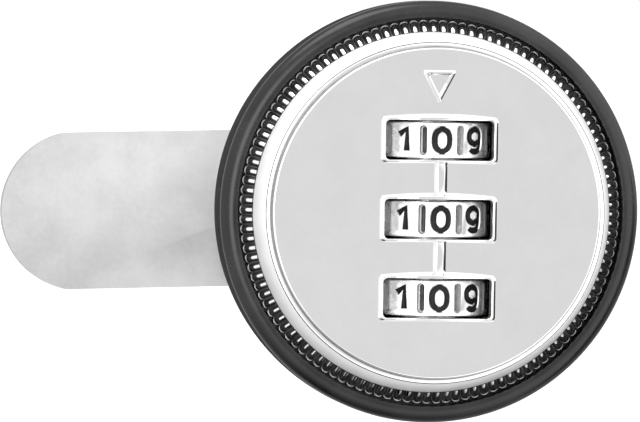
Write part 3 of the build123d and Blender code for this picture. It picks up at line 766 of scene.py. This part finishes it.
def stroke_cutter(stroke, rim, floor):
    """A round-nosed engraving tool along one stroke, with the finishes that its rim and floor leave."""
    path = bpy.data.curves.new("stroke_cut", "CURVE")
    path.dimensions = "3D"
    path.bevel_depth = TOOL_RADIUS
    path.bevel_resolution = 8
    path.use_fill_caps = True
    closed = hypot(stroke[0][0] - stroke[-1][0], stroke[0][1] - stroke[-1][1]) < 0.01
    points = stroke[:-1] if closed else stroke
    line = path.splines.new("POLY")
    line.points.add(len(points) - 1)
    line.use_cyclic_u = closed
    for point, (across, above) in zip(line.points, points):
        turn = across / DIAL_RADIUS
        point.co = (TOOL_PATH_RADIUS * sin(turn), -TOOL_PATH_RADIUS * cos(turn), above, 1)
    leave_all()
    tool = bpy.data.objects.new("stroke_cut", path)
    bpy.context.scene.collection.objects.link(tool)
    tool.select_set(True)
    bpy.context.view_layer.objects.active = tool
    bpy.ops.object.convert(target="MESH")
    piece = bpy.context.object
    bpy.ops.object.mode_set(mode="EDIT")
    bpy.ops.mesh.select_all(action="SELECT")
    bpy.ops.mesh.remove_doubles(threshold=0.0001)
    bpy.ops.mesh.normals_make_consistent(inside=False)
    bpy.ops.object.mode_set(mode="OBJECT")
    for finish in (rim, floor):
        piece.data.materials.append(finish)
    for face in piece.data.polygons:
        face.material_index = 1 if hypot(face.center.x, face.center.y) < DIAL_RADIUS - 0.07 else 0
    return piece


def dial_sector():
    """One tenth of a dial, with its land at the front; the groove to the right of it is cut afterwards."""
    leave_all()
    middle = (0, -(DIAL_RADIUS + DIAL_BORE) / 2, 0)
    bpy.ops.mesh.primitive_plane_add(size=1, location=middle, rotation=(0, pi / 2, 0))
    piece = new_piece("dial_sector")
    bpy.ops.object.mode_set(mode="EDIT")
    bpy.ops.mesh.select_all(action="SELECT")
    bpy.ops.transform.resize(value=(1, DIAL_RADIUS - DIAL_BORE, DIAL_WIDTH), center_override=middle)
    edit(piece)
    for corner in piece.data.vertices:
        corner.select = corner.co.y < -DIAL_RADIUS + 0.01
    bpy.ops.object.mode_set(mode="EDIT")
    bpy.ops.mesh.select_mode(type="VERT")
    bpy.ops.mesh.bevel(offset=0.2, segments=3, affect="VERTICES")
    bpy.ops.object.mode_set(mode="OBJECT")
    piece.data.transform(Matrix.Rotation(SECTOR_START, 4, "Z"))
    bpy.ops.object.mode_set(mode="EDIT")
    bpy.ops.mesh.select_all(action="SELECT")
    bpy.ops.mesh.spin(steps=18, angle=-DIGIT_STEP, center=(0, 0, 0), axis=(0, 0, 1))
    bpy.ops.mesh.select_all(action="SELECT")
    bpy.ops.mesh.remove_doubles(threshold=0.001)
    bpy.ops.mesh.normals_make_consistent(inside=False)
    bpy.ops.object.mode_set(mode="OBJECT")
    piece.data.materials.append(dial_chrome)
    return piece


def open_ends(piece):
    """Takes away the walls by which a sector meets its neighbours."""

    def in_end(face):
        corners = [piece.data.vertices[index].co for index in face.vertices]
        turns = [atan2(corner.x, -corner.y) for corner in corners]
        return max(turns) < SECTOR_START + 0.001 or min(turns) > SECTOR_START + DIGIT_STEP - 0.001

    pick_faces(piece, in_end)
    bpy.ops.mesh.delete(type="FACE")
    bpy.ops.object.mode_set(mode="OBJECT")


sector = dial_sector()
groove = rounded_plate(
    "groove_cut", GROOVE_WIDTH, GROOVE_LENGTH, GROOVE_CORNER,
    DIAL_RADIUS - GROOVE_DEPTH, DIAL_RADIUS + 0.4, 0, 0,
)
# The groove's floor gets nearly black painted shade, and its walls the dial's pale finish, painted bright.
for finish in (dial_chrome, groove_shade):
    groove.data.materials.append(finish)
for face in groove.data.polygons:
    face.material_index = 1 if abs(face.normal.y) > 0.9 else 0
groove.data.transform(Matrix.Rotation(DIGIT_STEP / 2, 4, "Z"))
cut(sector, groove)
sectors = []
for digit in range(10):
    tenth = sector.copy()
    tenth.data = sector.data.copy()
    bpy.context.scene.collection.objects.link(tenth)
    cut(tenth, *[stroke_cutter(stroke, dial_chrome, digit_black) for stroke in digit_strokes(digit)])
    open_ends(tenth)
    tenth.data.transform(Matrix.Rotation(DIAL_LEAD - digit * DIGIT_STEP, 4, "Z"))
    sectors.append(tenth)
bpy.data.objects.remove(sector)
dial = join(*sectors)
edit(dial)
bpy.ops.object.mode_set(mode="EDIT")
bpy.ops.mesh.select_all(action="SELECT")
bpy.ops.mesh.remove_doubles(threshold=0.0005)
bpy.ops.object.mode_set(mode="OBJECT")
for dial_name, centre_z in zip(DIAL_NAMES, WINDOW_ZS):
    ring = dial.copy()
    ring.data = dial.data.copy()
    ring.name = f"number_dial_{dial_name}"
    bpy.context.scene.collection.objects.link(ring)
    ring.data.transform(Matrix.Translation((0, -DIAL_HEIGHT, centre_z)))
    done(ring, f"dial_{dial_name}_unit", None, (f"dial_{dial_name}",), 25)
bpy.data.objects.remove(dial)

# Cam: a flat tongue with a rounded end and a square hole

leave_all()
bpy.ops.mesh.primitive_circle_add(
    vertices=128, radius=CAM_END_RADIUS, fill_type="NGON", location=(-CAM_REACH, CAM_BACK, 0),
    rotation=AXIS_TURN,
)
cam = new_piece("cam_tongue")
bpy.ops.object.mode_set(mode="EDIT")
for edge_z in (CAM_HALF_WIDTH, -CAM_HALF_WIDTH):
    bpy.ops.mesh.select_all(action="SELECT")
    bpy.ops.mesh.bisect(plane_co=(0, 0, edge_z), plane_no=(0, 0, edge_z), clear_outer=True)
bpy.ops.object.mode_set(mode="OBJECT")
edit(cam)
for corner in cam.data.vertices:
    corner.select = corner.co.x > -CAM_REACH + 0.01
bpy.ops.object.mode_set(mode="EDIT")
bpy.ops.mesh.select_mode(type="VERT")
bpy.ops.transform.translate(value=(CAM_REACH, 0, 0))
bpy.ops.mesh.select_all(action="SELECT")
bpy.ops.mesh.extrude_region_move(TRANSFORM_OT_translate={"value": (0, -CAM_THICKNESS, 0)})
bpy.ops.mesh.select_all(action="SELECT")
bpy.ops.mesh.normals_make_consistent(inside=False)
bpy.ops.object.mode_set(mode="OBJECT")
cut(cam, block("square_cut", (CAM_HOLE, 2 * CAM_THICKNESS, CAM_HOLE), (0, CAM_BACK - CAM_THICKNESS / 2, 0)))
ease_edges(cam, 0.18, 3, 50)
cam.data.transform(Matrix.Rotation(CAM_TILT, 4, "Y"))
done(cam, "knob_unit", cam_zinc, ("cam",))

# Return springs: a copy of the springs' mesh stands in for them

springs = bpy.data.objects.new("return_springs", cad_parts["bar_springs"].data.copy())
bpy.context.scene.collection.objects.link(springs)
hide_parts("bar_springs")
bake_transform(springs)

# Floor, light and camera

leave_all()
bpy.ops.mesh.primitive_plane_add(size=400, location=(0, 0, -0.12))
floor = bpy.context.object
floor.name = "floor"
floor_paint = new_paint("floor_pale")
speck = floor_paint.noise(floor_paint.place(), 0.05)
floor.data.materials.append(
    floor_paint.finish(
        Base_Color=floor_paint.blend(speck, (0.93, 0.93, 0.93), (0.95, 0.95, 0.95)), Roughness=0.9,
        Emission_Color=(1, 1, 1, 1), Emission_Strength=0.12,
    )
)

leave_all()
bpy.ops.mesh.primitive_uv_sphere_add(segments=48, ring_count=24, radius=190)
backdrop = bpy.context.object
backdrop.name = "backdrop"
white = new_paint("backdrop_white")
glowing = white.node("ShaderNodeEmission", {}, {"Color": (1, 1, 1, 1), "Strength": 1.0})
white.node("ShaderNodeOutputMaterial", {}, {"Surface": glowing}, output=None)
backdrop.data.materials.append(white.owner)
for stage_piece in (floor, backdrop):
    stage_piece.visible_glossy = False
    stage_piece.visible_diffuse = False
backdrop.visible_shadow = False

# A white studio seen from the lock: bright above and to both sides, brightest in a strip on the left of the
# camera, dark below, and on two cards low on the right
studio = Paint(bpy.data.worlds.new("studio"))
bpy.context.scene.world = studio.owner
direction = studio.node("ShaderNodeTexCoord")
to_right, to_back, to_top = (
    studio.node("ShaderNodeSeparateXYZ", {}, {0: direction}, axis) for axis in range(3)
)
front = studio.spread(to_back, -0.93, -0.975, 0, 1)
back = studio.spread(to_back, 0.0, 0.35, 0, 1)
below = studio.spread(to_top, -0.5, -0.9, 0, 1)
low_right = 0.92 * to_right - 0.39 * to_top
card = studio.spread(low_right, 0.88, 0.92, 0, 1)
near_card = studio.spread(low_right, 0.8, 0.84, 0, 1) * studio.spread(to_back, -0.12, -0.2, 0, 1)
right_side = studio.spread(to_right, -0.4, 0.6, 0, 1)
around = 1.2 + 0.8 * right_side - 1.3 * below - 1.4 * card * (1 - below)
sides = around - (around - 0.8) * back
carded = sides - (sides - 0.05) * near_card * studio.spread(to_back, -0.62, -0.52, 0, 1)
strip_across = studio.spread(to_right, -0.08, -0.16, 0, 1) * studio.spread(to_right, -0.56, -0.46, 0, 1)
strip_along = studio.spread(to_top, -0.32, -0.1, 0, 1) * studio.spread(to_top, 0.5, 0.25, 0, 1)
strip = strip_across * strip_along * studio.spread(to_back, -0.7, -0.8, 0, 1)
light = carded - (carded - 0.82) * front * (1 - strip) + 3.5 * strip
glow = studio.node("ShaderNodeBackground", {}, {"Color": (1, 1, 1, 1), "Strength": light})
studio.node("ShaderNodeOutputWorld", {}, {"Surface": glow}, output=None)


def soft_light(name, place, size, power):
    """A square soft box that faces the lock."""
    lamp = bpy.data.lights.new(name, "AREA")
    lamp.size = size
    lamp.energy = power
    stand = bpy.data.objects.new(name, lamp)
    stand.location = place
    stand.rotation_euler = Vector(place).to_track_quat("Z", "Y").to_euler()
    bpy.context.scene.collection.objects.link(stand)
    return stand


soft_light("light_above", (-0.3, -0.3, 0.9), 0.6, 4)

AZIMUTH = radians(-7.814)
ELEVATION = radians(1.767)
ROLL = radians(0.978)
DISTANCE = 0.8016
SHIFT_RIGHT = -0.011347
SHIFT_UP = -0.000305
LENS = 375.0
to_camera = Vector((sin(AZIMUTH) * cos(ELEVATION), -cos(AZIMUTH) * cos(ELEVATION), sin(ELEVATION)))
level = Vector((cos(AZIMUTH), sin(AZIMUTH), 0))
upright = to_camera.cross(level)
right = cos(ROLL) * level + sin(ROLL) * upright
up = cos(ROLL) * upright - sin(ROLL) * level
lens = bpy.data.cameras.new("camera")
lens.lens = LENS
lens.clip_end = 1000
lens.sensor_width = 36
lens.sensor_fit = "HORIZONTAL"
camera = bpy.data.objects.new("camera", lens)
stand_point = SHIFT_RIGHT * right + SHIFT_UP * up + DISTANCE * to_camera
camera.matrix_world = Matrix.Translation(stand_point) @ Matrix((right, up, to_camera)).transposed().to_4x4()
bpy.context.scene.collection.objects.link(camera)
bpy.context.scene.camera = camera
bpy.context.scene.view_settings.view_transform = "Standard"
